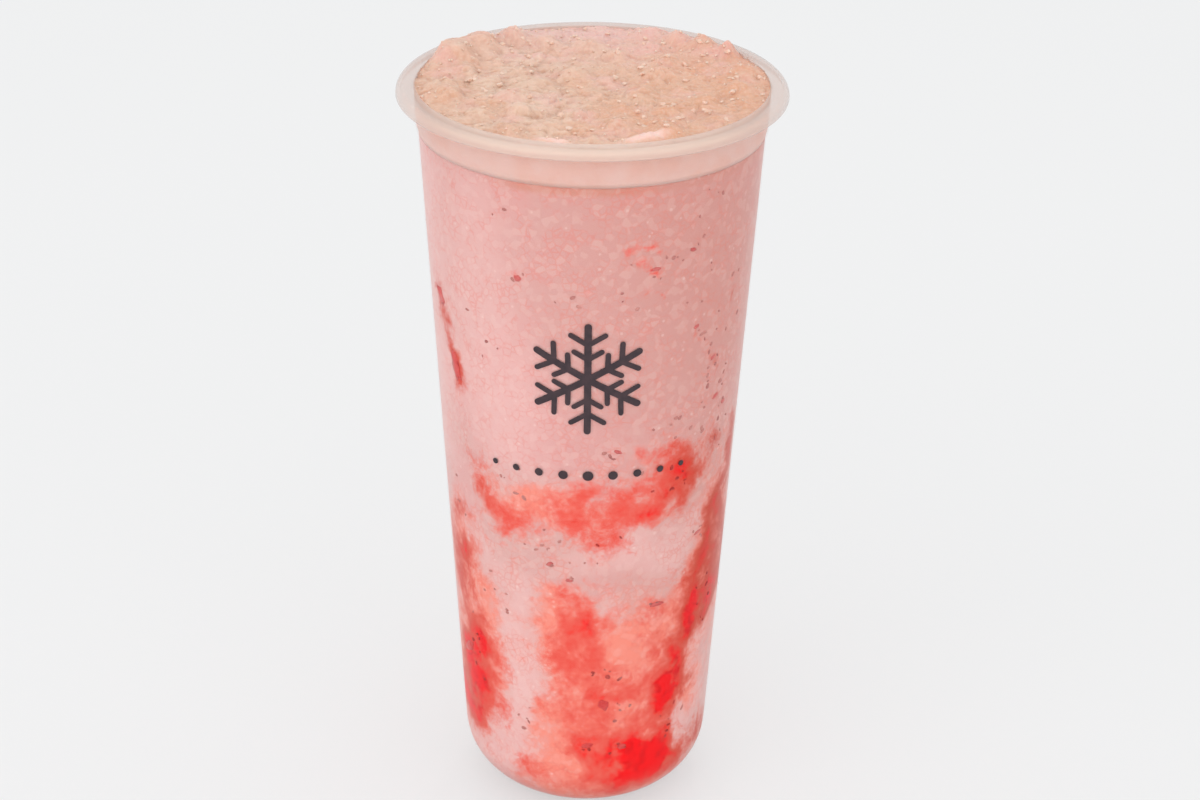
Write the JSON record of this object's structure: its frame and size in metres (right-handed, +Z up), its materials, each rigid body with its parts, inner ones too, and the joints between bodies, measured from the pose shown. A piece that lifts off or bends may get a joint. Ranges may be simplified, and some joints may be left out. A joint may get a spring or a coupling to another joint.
{
  "type": "strawberry slush in a plastic cup",
  "caption": "Tall tapered translucent plastic cup with a rounded base and turned-out rim, brim-full of pink strawberry slush with red fruit streaks and a layer of icy froth.",
  "frame": {"origin": "on the cup's axis, in the plane of the foot ring that it stands on", "axes": "+Z up along the cup's axis, -Y towards the printed front"},
  "size_m": [0.09, 0.09, 0.1881],
  "materials": {
    "cup_plastic": "clear moulded polypropylene, slightly milky, smooth",
    "slush": "wet, fine-grained pink ice with red fruit streaks",
    "froth": "moist, lumpy icy foam",
    "fruit": "wet strawberry flesh and seeds",
    "print": "dark screen-printed ink"
  },
  "bodies": {
    "root": {"cup": "cup_plastic", "slush": "slush", "froth": "froth"}
  },
  "joints": []
}
